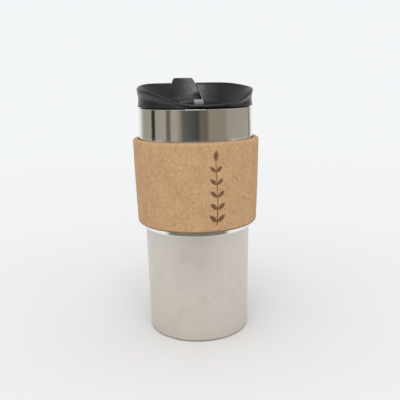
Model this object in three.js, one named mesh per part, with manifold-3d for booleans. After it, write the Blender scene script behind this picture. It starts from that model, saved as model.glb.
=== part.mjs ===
// Double-walled steel travel mug with a cork grip band and a screw lid that a flip lever opens.
// Millimetres, +Z up. The origin is on the mug's axis at the table.
// The low side of the lid faces -Y, and the drinking side with the lever's tab faces +Y.
import * as THREE from "three";
import { mergeVertices } from "three/addons/utils/BufferGeometryUtils.js";
import Module from "manifold-3d";

const wasm = await Module();
wasm.setup();

// ---- Driving dimensions ----
const TURN_SEGMENTS = 56; // facets round every turned piece

// Mug
const MUG_HEIGHT = 158; // table to the top of the rolled rim
const SHEET = 0.5; // steel sheet
const BASE_RADIUS = 35.85; // outside of the lower shell near the table
const SHELL_TOP_RADIUS = 36.78; // outside of the lower shell where the collar begins
const SHELL_FOOT = 0.8; // the lower shell stops short of the table
const SHELL_TURN_IN = 0.25; // its bottom edge turns in by this much
const SHELL_LAP = 12; // the lower shell runs on up inside the collar
const COLLAR_FOOT = 75.6;
const RIM_RADIUS = 38.86; // outside, just below the rolled rim
const COLLAR_BULGE = 0.42; // the collar is this much wider at the top of the cork
const RIM_BEAD = 0.8; // radius of the rolled rim
const BASE_DISH_DEPTH = 1.8;
const BASE_FLANGE_HEIGHT = 7;
const BASE_RING_WIDTH = 3.2;

// Inner cup
const LINER_FLOOR = 5; // underside of the cup's floor
const LINER_CORNER = 5;
const WALL_SPACE_FOOT = 6; // between the two walls, at the floor
const WALL_SPACE_TOP = 4.6; // and where the collar begins
const SHOULDER_HEIGHT = 5.4;

// Screw thread: right-handed, one start, a round bead on each side
const THREAD_LEAD = 8;
const THREAD_TURNS = 0.9;
const THREAD_BEAD = 1.1; // radius of the bead
const THREAD_REACH = 0.75; // how far the liner's bead stands into the mouth

// Cork band
const CORK_BOTTOM = 78.8;
const CORK_HEIGHT = 58.4;
const CORK_THICKNESS = 4.3;
const CORK_EDGE = 1.6; // rounding of its outer edges

// Lid
const LID_SEAT_GAP = 0.6; // lid above the steel rim
const LID_OVERHANG = 0.44; // lid's foot beyond the steel rim
const LID_WAIST = 0.6; // the skirt draws in by this much
const LID_FLARE = 0.3; // and its rim is this much wider than its foot
const LID_BACK_HEIGHT = 15.5; // lid's foot to the top of its rim, at the drinking side
const LID_FRONT_HEIGHT = 1.9; // the same at the low side
const LID_DIP_NARROW = 49; // the rim falls to the low side in two waves, this many degrees wide
const LID_DIP_WIDE = 112;
const LID_DIP_SHARE = 0.7; // the narrow wave's part of the fall
const LIP_RADIUS = 1; // rounding of the lid's rim
const SKIRT_WALL = 1.9;
const BOWL_WALL = 1.9;
const BOWL_FLOOR_DEPTH = 4.1; // bowl's floor below the lid's foot
const BOWL_FLOOR_WALL = 2;
const BOWL_SLOPE = 8.1; // the bowl's shoulder is this far in from the lid's rim
const BOWL_SHOULDER_RISE = 3.8; // and this far above the lid's foot, at the drinking side
const BOWL_FOOT = 4.8; // the floor is this much smaller than the shoulder
const BOWL_FRONT_FOOT = 3.1; // the same at the low side
const SEAL_ROOM = 1.6; // between the plug and the mug's mouth
const SEAL_HEIGHT = 3.1;
const PLUG_WALL = 2.1;
const PLUG_FLANGE = 0.9;
const PLUG_TAIL = 0.5; // plug below its thread
const SPOUT_RADIUS = 5; // drinking hole
const SPOUT_EDGE = 2.7; // floor between the hole and the bowl's wall
const VENT_RADIUS = 1.1;
const VENT_EDGE = 6.4;

// Flip lever
const HINGE_Y = -9.5;
const HINGE_RISE = 1.8; // hinge's axis above the lid's foot
const KNUCKLE_RADIUS = 2.5;
const KNUCKLE_WIDTH = 6.6;
const PIN_RADIUS = 1;
const PIN_LENGTH = 18;
const MOUND_HALF_WIDTH = 13;
const MOUND_END_DROP = 0.7; // the mound's ends are lower than its middle
const MOUND_BACK_DEPTH = 3.8; // behind the hinge's axis
const MOUND_FRONT_DEPTH = 2.2; // before it, so that the knuckle stands proud
const LEVER_THICKNESS = 2;
const ARM_RISE = 3.4; // top of the arm's sides above the lid's foot
const ARM_CROWN = 0.8; // its middle is this much higher
const ARM_HALF_WIDTH = 11.5; // where the arm meets the lever's face
const ARM_ROOT_HALF_WIDTH = 12.8; // at the hinge mound
const FACE_HALF_WIDTH_AT_RIM = 9.3;
const TAB_HALF_WIDTH = 7.1;
const TAB_RISE = 3.6; // tab above the lid's rim
const POST_RADIUS = 2.6;
const POST_LENGTH = 3.5; // the post's grip in the stopper

// Clearances
const FIT = 0.3; // between pieces that touch
const THREAD_FIT = 0.4; // between the two beads of the thread
const THREAD_TOP_FIT = 0.35; // between the lid's bead and the mouth's wall
const LEVER_GAP = 0.3; // round the lever in its channel
const STOPPER_GAP = 0.6; // stopper in the drinking hole, which it leaves at a slant
const RUNNING_FIT = 0.3; // pin in its bores

// ---- Sizes that follow ----
const COLLAR_TOP_RADIUS = RIM_RADIUS + COLLAR_BULGE;
const COLLAR_FOOT_RADIUS = SHELL_TOP_RADIUS + FIT + SHEET;
const CORK_TOP = CORK_BOTTOM + CORK_HEIGHT;
const RIM_BEAD_RADIUS = RIM_RADIUS - RIM_BEAD - 0.05;
const MOUTH_RADIUS = RIM_BEAD_RADIUS - RIM_BEAD; // inside of the mug's mouth
const LINER_TOP = MUG_HEIGHT - 2 * RIM_BEAD - FIT;
const LINER_FLOOR_RADIUS = BASE_RADIUS - SHEET - WALL_SPACE_FOOT;
const LINER_WAIST_RADIUS = SHELL_TOP_RADIUS - 2 * SHEET - WALL_SPACE_TOP;

const LID_FOOT = MUG_HEIGHT + LID_SEAT_GAP;
const LID_FOOT_RADIUS = RIM_RADIUS + LID_OVERHANG;
const LID_WAIST_RADIUS = LID_FOOT_RADIUS - LID_WAIST;
const LID_RIM_RADIUS = LID_FOOT_RADIUS + LID_FLARE;
const ROOF = LID_FOOT - 0.4; // underside of the lid's shell over the plug
const BOWL_FLOOR = LID_FOOT - BOWL_FLOOR_DEPTH;
const BOWL_SHOULDER_RADIUS = LID_RIM_RADIUS - BOWL_SLOPE;
const BOWL_FLOOR_RADIUS = BOWL_SHOULDER_RADIUS - BOWL_FOOT;
const BOWL_FRONT_FLOOR_RADIUS = BOWL_SHOULDER_RADIUS - BOWL_FRONT_FOOT;
const SPOUT_Y = BOWL_FLOOR_RADIUS - SPOUT_EDGE - SPOUT_RADIUS;
const VENT_Y = VENT_EDGE - BOWL_FRONT_FLOOR_RADIUS;

const PLUG_RADIUS = MOUTH_RADIUS - SEAL_ROOM;
const FLANGE_TOP = ROOF - FIT;
const SEAL_TOP = FLANGE_TOP - PLUG_FLANGE - FIT;
const THREAD_BOTTOM = SEAL_TOP - SEAL_HEIGHT - FIT - THREAD_BEAD - THREAD_TURNS * THREAD_LEAD;
const MOUTH_THREAD_RADIUS = MOUTH_RADIUS - THREAD_REACH + THREAD_BEAD; // middle of the bead
const LID_THREAD_RADIUS = MOUTH_RADIUS - THREAD_TOP_FIT - THREAD_BEAD;
const THREAD_DROP = Math.sqrt(
  (2 * THREAD_BEAD + THREAD_FIT) ** 2 - (MOUTH_THREAD_RADIUS - LID_THREAD_RADIUS) ** 2,
); // the lid's bead lies this far below the mouth's
const PLUG_BOTTOM = THREAD_BOTTOM - THREAD_DROP - THREAD_BEAD - PLUG_TAIL;
const SHOULDER_TOP = PLUG_BOTTOM - 2;
const SHOULDER_BOTTOM = SHOULDER_TOP - SHOULDER_HEIGHT;

const HINGE_Z = LID_FOOT + HINGE_RISE;
const ARM_TOP = LID_FOOT + ARM_RISE;
const TAB_TOP = LID_FOOT + LID_BACK_HEIGHT + TAB_RISE;
const STOPPER_TOP = ARM_TOP - LEVER_THICKNESS - FIT;
const STOPPER_RADIUS = SPOUT_RADIUS - STOPPER_GAP;
const STOPPER_FLANGE_RADIUS = SPOUT_RADIUS + 1.2;

// ---- Materials ----
function finish(name, color, roughness, metalness) {
  return new THREE.MeshStandardMaterial({ name, color, roughness, metalness });
}
const satinSteel = finish("satin_steel", 0xbfb8ad, 0.38, 1);
const polishedSteel = finish("polished_steel", 0xcfccc4, 0.08, 1);
const cork = finish("cork", 0xbc9570, 0.85, 0);
const blackPlastic = finish("black_plastic", 0x303032, 0.42, 0);
const blackSilicone = finish("black_silicone", 0x1f1f20, 0.65, 0);

// ---- Shape helpers ----
// A turned solid. profileAt(angle) gives its [radius, height] outline at that angle, anticlockwise in a
// half section with the axis on the left. Angle 0 faces -Y and 90 degrees faces +X.
function turned(profileAt) {
  const outline = typeof profileAt === "function" ? profileAt : () => profileAt;
  const points = outline(0).map(([r, z]) => new THREE.Vector2(r, z));
  const geometry = new THREE.LatheGeometry(points, TURN_SEGMENTS);
  const position = geometry.getAttribute("position");
  for (let i = 0; i <= TURN_SEGMENTS; i++) {
    const angle = ((i % TURN_SEGMENTS) * 2 * Math.PI) / TURN_SEGMENTS;
    outline(angle).forEach(([r, z], j) => {
      const k = i * points.length + j;
      position.setXYZ(k, r * Math.sin(angle), -r * Math.cos(angle), z);
    });
  }
  return geometry;
}

// A turned ring, whose outline closes on itself.
function turnedRing(profileAt) {
  const outline = typeof profileAt === "function" ? profileAt : () => profileAt;
  return turned((angle) => {
    const points = outline(angle);
    return [...points, points[0]];
  });
}

// A wall of one thickness along an outer outline that rises from bottom to top.
function wallOf(outer, thickness) {
  const inner = outer.map(([r, z]) => [r - thickness, z]).reverse();
  return turnedRing([...outer, ...inner]);
}

function toSolid(geometry) {
  const bare = geometry.clone();
  bare.deleteAttribute("normal");
  bare.deleteAttribute("uv");
  const merged = mergeVertices(bare, 1e-4);
  const index = merged.index.array;
  const faces = [];
  for (let i = 0; i < index.length; i += 3) {
    const [a, b, c] = index.slice(i, i + 3);
    if (a !== b && b !== c && c !== a) faces.push(a, b, c);
  }
  const triVerts = new Uint32Array(faces);
  const vertProperties = merged.getAttribute("position").array;
  return new wasm.Manifold(new wasm.Mesh({ numProp: 3, vertProperties, triVerts }));
}

function toGeometry(solid) {
  const { vertProperties, triVerts } = solid.getMesh();
  const geometry = new THREE.BufferGeometry();
  geometry.setAttribute("position", new THREE.BufferAttribute(vertProperties, 3));
  geometry.setIndex(new THREE.BufferAttribute(triVerts, 1));
  geometry.computeVertexNormals();
  return geometry;
}

function outlineShape(points) {
  return new THREE.Shape(points.map(([u, v]) => new THREE.Vector2(u, v)));
}

function prism(points, depth) {
  return new THREE.ExtrudeGeometry(outlineShape(points), { depth, bevelEnabled: false });
}

// An outline in (x, y), from z = low to z = high.
function prismAlongZ(points, low, high) {
  const geometry = prism(points, high - low);
  return toSolid(geometry.translate(0, 0, low));
}

// An outline in (y, z), from x = low to x = high.
function prismAlongX(points, low, high) {
  const geometry = prism(points, high - low);
  geometry.translate(0, 0, low);
  const axes = new THREE.Matrix4().set(0, 0, 1, 0, 1, 0, 0, 0, 0, 1, 0, 0, 0, 0, 0, 1);
  return toSolid(geometry.applyMatrix4(axes));
}

// An outline in (x, z), from y = low to y = high.
function prismAlongY(points, low, high) {
  const geometry = prism(points, high - low);
  geometry.rotateX(Math.PI / 2).translate(0, high, 0);
  return toSolid(geometry);
}

// A rod along X on the hinge's axis.
function hingeRod(radius, low, high, segments = 24) {
  const geometry = new THREE.CylinderGeometry(radius, radius, high - low, segments);
  geometry.rotateZ(Math.PI / 2).translate((low + high) / 2, HINGE_Y, HINGE_Z);
  return toSolid(geometry);
}

// An upright rod.
function uprightRod(radius, y, low, high, segments = 24) {
  const geometry = new THREE.CylinderGeometry(radius, radius, high - low, segments);
  geometry.rotateX(Math.PI / 2).translate(0, y, (low + high) / 2);
  return toSolid(geometry);
}

// A round arc of points from one angle to another, in degrees.
function arc(u, v, radius, from, to, steps) {
  return Array.from({ length: steps + 1 }, (_, i) => {
    const angle = THREE.MathUtils.degToRad(from + ((to - from) * i) / steps);
    return [u + radius * Math.cos(angle), v + radius * Math.sin(angle)];
  });
}

const mirrored = (points) => points.map(([x, v]) => [-x, v]).reverse();

class ThreadHelix extends THREE.Curve {
  constructor(radius, bottom) {
    super();
    this.radius = radius;
    this.bottom = bottom;
  }

  getPoint(t, target = new THREE.Vector3()) {
    const angle = t * THREAD_TURNS * 2 * Math.PI;
    const z = this.bottom + t * THREAD_TURNS * THREAD_LEAD;
    return target.set(this.radius * Math.cos(angle), this.radius * Math.sin(angle), z);
  }
}

function threadBead(radius, bottom) {
  const section = outlineShape(arc(0, 0, THREAD_BEAD, 0, 300, 5));
  const path = new ThreadHelix(radius, bottom);
  const steps = Math.round(THREAD_TURNS * TURN_SEGMENTS * 0.7);
  return toSolid(new THREE.ExtrudeGeometry(section, { steps, extrudePath: path, bevelEnabled: false }));
}

const group = new THREE.Group();
function add(name, shape, material) {
  const geometry = shape instanceof THREE.BufferGeometry ? shape : toGeometry(shape);
  const mesh = new THREE.Mesh(geometry, material);
  mesh.name = name;
  group.add(mesh);
}

// ---- Mug ----
// Outside radius of the collar: a cone up to the cork's top, then slightly in to the rim.
function collarRadius(z) {
  const up = (z - COLLAR_FOOT) / (CORK_TOP - COLLAR_FOOT);
  if (up < 1) return COLLAR_FOOT_RADIUS + (COLLAR_TOP_RADIUS - COLLAR_FOOT_RADIUS) * up;
  const above = (z - CORK_TOP) / (MUG_HEIGHT - 2 * RIM_BEAD - CORK_TOP);
  return COLLAR_TOP_RADIUS + (RIM_RADIUS - COLLAR_TOP_RADIUS) * above;
}

// Pressed dish that closes the outer wall. Its ring is what stands on the table.
function basePlate() {
  const outside = BASE_RADIUS - SHELL_TURN_IN - SHEET - FIT;
  const edge = 0.5;
  const dishRadius = outside - BASE_RING_WIDTH;
  return turned([
    [0, BASE_DISH_DEPTH],
    [dishRadius - BASE_DISH_DEPTH, BASE_DISH_DEPTH],
    [dishRadius, 0],
    [outside - edge, 0],
    [outside, edge],
    [outside, BASE_FLANGE_HEIGHT],
    [outside - SHEET, BASE_FLANGE_HEIGHT],
    [outside - SHEET, SHEET + edge],
    [outside - SHEET - edge, SHEET],
    [dishRadius + SHEET / 2, SHEET],
    [dishRadius - BASE_DISH_DEPTH + SHEET / 2, BASE_DISH_DEPTH + SHEET],
    [0, BASE_DISH_DEPTH + SHEET],
  ]);
}

// Brushed outer wall, a slight cone that stands just clear of the table.
function lowerShell() {
  return wallOf(
    [
      [BASE_RADIUS - SHELL_TURN_IN, SHELL_FOOT],
      [BASE_RADIUS, SHELL_FOOT + 0.5],
      [BASE_RADIUS + 0.1, SHELL_FOOT + 22],
      [SHELL_TOP_RADIUS, COLLAR_FOOT - 2],
      [SHELL_TOP_RADIUS, COLLAR_FOOT + SHELL_LAP],
    ],
    SHEET,
  );
}

// Polished upper wall, whose top edge is rolled inwards into the rim.
function collarShell() {
  const throat = MUG_HEIGHT - 2 * RIM_BEAD;
  return turnedRing([
    [COLLAR_FOOT_RADIUS - 0.15, COLLAR_FOOT],
    [collarRadius(COLLAR_FOOT + 0.5), COLLAR_FOOT + 0.5],
    [COLLAR_TOP_RADIUS, CORK_TOP],
    [collarRadius(throat), throat],
    ...arc(RIM_BEAD_RADIUS, MUG_HEIGHT - RIM_BEAD, RIM_BEAD, 0, 180, 5),
    [MOUTH_RADIUS + 0.25, throat + 0.15],
    [RIM_RADIUS - SHEET, throat],
    [COLLAR_TOP_RADIUS - SHEET, CORK_TOP],
    [COLLAR_FOOT_RADIUS - SHEET, COLLAR_FOOT],
  ]);
}

// Inner cup: straight wall, a shoulder that widens to the mouth, and the thread the lid screws into.
function innerLiner() {
  const top = LINER_TOP;
  const bendRadius = LINER_FLOOR_RADIUS - LINER_CORNER;
  const bend = (radius) => arc(bendRadius, LINER_FLOOR + LINER_CORNER, radius, -90, 0, 3);
  const cup = toSolid(
    turned([
      [0, LINER_FLOOR],
      ...bend(LINER_CORNER),
      [LINER_WAIST_RADIUS + SHEET, SHOULDER_BOTTOM],
      [MOUTH_RADIUS + SHEET, SHOULDER_TOP],
      [MOUTH_RADIUS + SHEET, top],
      [MOUTH_RADIUS, top],
      [MOUTH_RADIUS, SHOULDER_TOP + 0.2],
      [LINER_WAIST_RADIUS, SHOULDER_BOTTOM + 0.2],
      ...bend(LINER_CORNER - SHEET).reverse(),
      [0, LINER_FLOOR + SHEET],
    ]),
  );
  const bead = threadBead(MOUTH_THREAD_RADIUS, THREAD_BOTTOM);
  const insideOfWall = toSolid(
    turned([
      [0, SHOULDER_TOP],
      [MOUTH_RADIUS + SHEET / 2, SHOULDER_TOP],
      [MOUTH_RADIUS + SHEET / 2, top],
      [0, top],
    ]),
  );
  return cup.add(bead.intersect(insideOfWall));
}

add("base_plate", basePlate(), satinSteel);
add("lower_shell", lowerShell(), satinSteel);
add("collar_shell", collarShell(), polishedSteel);
add("inner_liner", innerLiner(), satinSteel);

// ---- Cork band ----
// A turned sleeve of pressed cork, bored to the collar's cone so that it wedges on from below.
function corkSleeve() {
  const bore = (z) => collarRadius(z) + FIT;
  const outside = (z) => collarRadius(z) + CORK_THICKNESS;
  const belly = CORK_BOTTOM + CORK_HEIGHT * 0.45;
  return turnedRing([
    [bore(CORK_BOTTOM) + 0.3, CORK_BOTTOM],
    ...arc(outside(CORK_BOTTOM) - CORK_EDGE, CORK_BOTTOM + CORK_EDGE, CORK_EDGE, -90, 0, 3),
    [outside(belly) + 0.2, belly],
    ...arc(outside(CORK_TOP) - CORK_EDGE, CORK_TOP - CORK_EDGE, CORK_EDGE, 0, 90, 3),
    [bore(CORK_TOP) + 0.3, CORK_TOP],
    [bore(CORK_TOP - 0.4), CORK_TOP - 0.4],
    [bore(CORK_BOTTOM + 0.4), CORK_BOTTOM + 0.4],
  ]);
}

add("cork_sleeve", corkSleeve(), cork);

// ---- Lid ----
// 1 at the low side, 0 at the drinking side.
function dip(angle) {
  const degrees = Math.min(angle, 2 * Math.PI - angle) * THREE.MathUtils.RAD2DEG;
  const narrow = Math.exp(-((degrees / LID_DIP_NARROW) ** 3));
  const wide = Math.exp(-((degrees / LID_DIP_WIDE) ** 6));
  return narrow * LID_DIP_SHARE + wide * (1 - LID_DIP_SHARE);
}
const lerp = THREE.MathUtils.lerp;
const lidHeight = (angle) => lerp(LID_BACK_HEIGHT, LID_FRONT_HEIGHT, dip(angle));

// Slope of the bowl's wall at the drinking side, which the lever's face continues.
const WALL_TOP = [LID_RIM_RADIUS - 2 * LIP_RADIUS, LID_FOOT + LID_BACK_HEIGHT - LIP_RADIUS];
const WALL_BOTTOM = [BOWL_SHOULDER_RADIUS, LID_FOOT + BOWL_SHOULDER_RISE];
const WALL_RUN = (WALL_TOP[0] - WALL_BOTTOM[0]) / (WALL_TOP[1] - WALL_BOTTOM[1]);
const wallRadius = (z) => WALL_BOTTOM[0] + WALL_RUN * (z - WALL_BOTTOM[1]);
const WALL_LEAN = Math.hypot(1, WALL_RUN); // horizontal distance per unit across the wall

// Half section of the lid's shell: skirt, rounded rim, sloping bowl, floor, and the hollow under the bowl.
function lidSection(angle) {
  const height = lidHeight(angle);
  const rim = LID_FOOT + height;
  const near = dip(angle);
  const shoulder = [BOWL_SHOULDER_RADIUS, LID_FOOT + lerp(BOWL_SHOULDER_RISE, 0.7, near)];
  const foot = [lerp(BOWL_FLOOR_RADIUS, BOWL_FRONT_FLOOR_RADIUS, near), BOWL_FLOOR];
  const lip = arc(LID_RIM_RADIUS - LIP_RADIUS, rim - LIP_RADIUS, LIP_RADIUS, 0, 180, 4);
  const bowlTop = [LID_RIM_RADIUS - 2 * LIP_RADIUS, rim - LIP_RADIUS];
  const middle = [lerp(shoulder[0], bowlTop[0], 0.5), lerp(shoulder[1], bowlTop[1], 0.5)];
  const hollowTop = ROOF + (height - LID_FRONT_HEIGHT) * 0.04; // it stays below the channel
  return [
    [LID_FOOT_RADIUS, LID_FOOT],
    [lerp(LID_FOOT_RADIUS, LID_WAIST_RADIUS, 0.9), LID_FOOT + height * 0.24],
    [LID_WAIST_RADIUS, LID_FOOT + height * 0.4],
    [LID_WAIST_RADIUS + 0.45, LID_FOOT + height * 0.5],
    ...lip,
    middle,
    shoulder,
    [foot[0] + 0.9, foot[1] + 1.3],
    [foot[0] - 0.7, foot[1]],
    [0, foot[1]],
    [0, foot[1] - BOWL_FLOOR_WALL],
    [foot[0], foot[1] - BOWL_FLOOR_WALL],
    [foot[0] + 0.9 + BOWL_WALL * 0.8, foot[1] - 0.7],
    [lerp(foot[0], shoulder[0], 0.55) + BOWL_WALL, ROOF - 1],
    [lerp(foot[0], shoulder[0], 0.8) + BOWL_WALL * 1.35, hollowTop * 0.1 + ROOF * 0.9],
    [LID_FOOT_RADIUS - SKIRT_WALL - 1.2, hollowTop],
    [LID_FOOT_RADIUS - SKIRT_WALL - 0.2, hollowTop],
    [LID_FOOT_RADIUS - SKIRT_WALL + 0.2, LID_FOOT],
  ];
}

// Half width of the lever's face at a height, plus a gap.
function faceOutline(gap, top) {
  const rimHeight = LID_FOOT + LID_BACK_HEIGHT - 0.7;
  const slope = (FACE_HALF_WIDTH_AT_RIM - TAB_HALF_WIDTH) / (TAB_TOP - rimHeight);
  const corner = 0.9;
  const shoulders =
    top > TAB_TOP
      ? [[FACE_HALF_WIDTH_AT_RIM + gap, top]]
      : [
          [TAB_HALF_WIDTH + slope * corner + gap, TAB_TOP - corner],
          [TAB_HALF_WIDTH - 0.5 + gap, TAB_TOP],
        ];
  const side = [
    [ARM_HALF_WIDTH + gap, ARM_TOP - LEVER_THICKNESS - 1],
    [ARM_HALF_WIDTH + gap, ARM_TOP + 0.4],
    [FACE_HALF_WIDTH_AT_RIM + gap, rimHeight],
    ...shoulders,
  ];
  return [...side, ...mirrored(side)];
}

// The lever's face in side view: its front lies in the bowl's wall, and thickness goes backwards.
function faceProfile(front, back, bottom, top) {
  return [
    [wallRadius(bottom) - front, bottom],
    [wallRadius(bottom) + back * WALL_LEAN, bottom],
    [wallRadius(top) + back * WALL_LEAN, top],
    [wallRadius(top) - front, top],
  ];
}

// The channel that the lever lies in. It runs out through the rim and makes the spout.
function leverChannel() {
  const bottom = ARM_TOP - LEVER_THICKNESS - LEVER_GAP;
  const top = TAB_TOP + 4;
  const reach = 12; // it starts inside the bowl
  const run = prismAlongX(faceProfile(reach, LEVER_THICKNESS + LEVER_GAP, bottom, top), -20, 20);
  return run.intersect(prismAlongY(faceOutline(LEVER_GAP, top), 5, 60));
}

// The hinge mound: a low block across the bowl with an arched top, slotted for the lever's knuckle.
function hingeMound() {
  const top = HINGE_Z + KNUCKLE_RADIUS - 0.1;
  const radius = 2.3;
  const section = [
    [HINGE_Y - MOUND_FRONT_DEPTH - 0.8, BOWL_FLOOR - 0.5],
    [HINGE_Y + MOUND_BACK_DEPTH, BOWL_FLOOR - 0.5],
    [HINGE_Y + MOUND_BACK_DEPTH - 0.6, HINGE_Z - 2],
    ...arc(HINGE_Y + 0.3, top - radius, radius, 20, 160, 6),
    [HINGE_Y - MOUND_FRONT_DEPTH, HINGE_Z - 2],
  ];
  const arch = [
    [-MOUND_HALF_WIDTH, BOWL_FLOOR - 0.4],
    [MOUND_HALF_WIDTH, BOWL_FLOOR - 0.4],
    [MOUND_HALF_WIDTH, top - MOUND_END_DROP],
    [MOUND_HALF_WIDTH * 0.62, top - MOUND_END_DROP * 0.42],
    [KNUCKLE_WIDTH / 2, top],
    [-KNUCKLE_WIDTH / 2, top],
    [-MOUND_HALF_WIDTH * 0.62, top - MOUND_END_DROP * 0.42],
    [-MOUND_HALF_WIDTH, top - MOUND_END_DROP],
  ];
  const block = prismAlongX(section, -MOUND_HALF_WIDTH - 1, MOUND_HALF_WIDTH + 1);
  return block.intersect(prismAlongY(arch, HINGE_Y - 10, HINGE_Y + 10));
}

// Room for the knuckle to turn in the mound.
function knuckleSlot() {
  const half = KNUCKLE_WIDTH / 2 + RUNNING_FIT;
  const reach = MOUND_BACK_DEPTH + 3;
  const below = HINGE_Z - KNUCKLE_RADIUS - FIT;
  const section = [
    [HINGE_Y - reach, below],
    [HINGE_Y + reach, below],
    [HINGE_Y + reach, HINGE_Z + 6],
    [HINGE_Y - reach, HINGE_Z + 6],
  ];
  return prismAlongX(section, -half, half);
}

function lidShell() {
  const pinBore = PIN_LENGTH / 2 + RUNNING_FIT;
  return toSolid(turnedRing(lidSection))
    .subtract(leverChannel())
    .add(hingeMound())
    .subtract(knuckleSlot())
    .subtract(hingeRod(PIN_RADIUS + RUNNING_FIT, -pinBore, pinBore))
    .subtract(uprightRod(SPOUT_RADIUS, SPOUT_Y, BOWL_FLOOR - 6, BOWL_FLOOR + 0.5, 32))
    .subtract(uprightRod(VENT_RADIUS, VENT_Y, BOWL_FLOOR - 6, BOWL_FLOOR + 0.5, 16));
}

// Threaded ring under the bowl. Its flange closes the hollow above it and carries the seal.
function lidPlug() {
  const inside = PLUG_RADIUS - PLUG_WALL;
  const flangeRadius = MOUTH_RADIUS - FIT;
  const ring = turnedRing([
    [inside, PLUG_BOTTOM + 0.8],
    [inside + 0.8, PLUG_BOTTOM],
    [PLUG_RADIUS - 0.8, PLUG_BOTTOM],
    [PLUG_RADIUS, PLUG_BOTTOM + 0.8],
    [PLUG_RADIUS, FLANGE_TOP - PLUG_FLANGE],
    [flangeRadius, FLANGE_TOP - PLUG_FLANGE],
    [flangeRadius, FLANGE_TOP],
    [inside, FLANGE_TOP],
  ]);
  return toSolid(ring).add(threadBead(LID_THREAD_RADIUS, THREAD_BOTTOM - THREAD_DROP));
}

// Silicone ring with two lips, between the plug and the mug's mouth.
function lidSeal() {
  const inside = PLUG_RADIUS + FIT;
  const outside = MOUTH_RADIUS - FIT;
  const root = outside - 0.5;
  const bottom = SEAL_TOP - SEAL_HEIGHT;
  return turnedRing([
    [inside, bottom],
    [root, bottom],
    [outside, bottom + 0.5],
    [root, bottom + 1.3],
    [root, SEAL_TOP - 1.2],
    [outside, SEAL_TOP - 0.6],
    [root, SEAL_TOP],
    [inside, SEAL_TOP],
  ]);
}

add("lid_shell", lidShell(), blackPlastic);
add("lid_plug", lidPlug(), blackPlastic);
add("lid_seal", lidSeal(), blackSilicone);

// ---- Flip lever ----
// Knuckle on the hinge, a crowned arm to the back of the bowl, a face up its wall and a tab above the rim.
function flipLever() {
  const armBottom = ARM_TOP - LEVER_THICKNESS;
  const crown = ARM_TOP + ARM_CROWN;
  const neckEnd = HINGE_Y + MOUND_BACK_DEPTH + 0.6;
  const armEnd = wallRadius(ARM_TOP) + 1;
  const plan = [
    [ARM_HALF_WIDTH, armEnd + 4],
    [ARM_HALF_WIDTH, armEnd],
    [ARM_ROOT_HALF_WIDTH, neckEnd + 1],
    [ARM_ROOT_HALF_WIDTH - 0.8, neckEnd],
    [KNUCKLE_WIDTH / 2, neckEnd],
    [KNUCKLE_WIDTH / 2, HINGE_Y],
  ];
  const side = [
    [HINGE_Y, armBottom - 0.6],
    [HINGE_Y + 6, armBottom],
    [wallRadius(ARM_TOP) - 0.6, armBottom],
    [wallRadius(ARM_TOP) + 0.9, ARM_TOP - 0.9],
    [wallRadius(ARM_TOP) + 0.9, crown],
    [wallRadius(crown) - 0.6, crown],
    [HINGE_Y, crown],
  ];
  const arch = [
    [ARM_ROOT_HALF_WIDTH + 1, armBottom - 2],
    [ARM_ROOT_HALF_WIDTH + 1, ARM_TOP - 0.1],
    [ARM_ROOT_HALF_WIDTH * 0.65, ARM_TOP + ARM_CROWN * 0.55],
    [KNUCKLE_WIDTH / 2, crown],
  ];
  const arm = prismAlongX(side, -20, 20)
    .intersect(prismAlongZ([...plan, ...mirrored(plan)].reverse(), armBottom - 3, crown + 1))
    .intersect(prismAlongY([...arch, ...mirrored(arch)], HINGE_Y - 5, 60));
  const faceSide = faceProfile(0, LEVER_THICKNESS, ARM_TOP - 0.6, TAB_TOP + 1);
  const face = prismAlongX(faceSide, -20, 20).intersect(prismAlongY(faceOutline(0, TAB_TOP), 5, 60));
  const half = KNUCKLE_WIDTH / 2;
  const post = uprightRod(POST_RADIUS, SPOUT_Y, STOPPER_TOP - POST_LENGTH, ARM_TOP - 1);
  return arm
    .add(face)
    .add(hingeRod(KNUCKLE_RADIUS, -half, half))
    .add(post)
    .subtract(hingeRod(PIN_RADIUS + RUNNING_FIT, -half - 1, half + 1));
}

// Soft plug on the arm's post. It closes the drinking hole, and its flange seals on the bowl's floor.
function spoutStopper() {
  const socketBottom = STOPPER_TOP - POST_LENGTH - FIT;
  const seat = BOWL_FLOOR + FIT;
  const geometry = turned([
    [0, BOWL_FLOOR - 1.6],
    [STOPPER_RADIUS - 0.9, BOWL_FLOOR - 1.6],
    [STOPPER_RADIUS, seat],
    [STOPPER_FLANGE_RADIUS, seat],
    [STOPPER_FLANGE_RADIUS, seat + 0.9],
    [STOPPER_RADIUS + 0.3, seat + 1.5],
    [STOPPER_RADIUS, STOPPER_TOP],
    [POST_RADIUS + FIT, STOPPER_TOP],
    [POST_RADIUS + FIT, socketBottom],
    [0, socketBottom],
  ]);
  return geometry.translate(0, SPOUT_Y, 0);
}

add("flip_lever", flipLever(), blackPlastic);
add("spout_stopper", spoutStopper(), blackSilicone);
add("hinge_pin", hingeRod(PIN_RADIUS, -PIN_LENGTH / 2, PIN_LENGTH / 2, 16), polishedSteel);

export default group;
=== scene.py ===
import math

import bpy
from mathutils import Matrix, Vector


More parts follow.
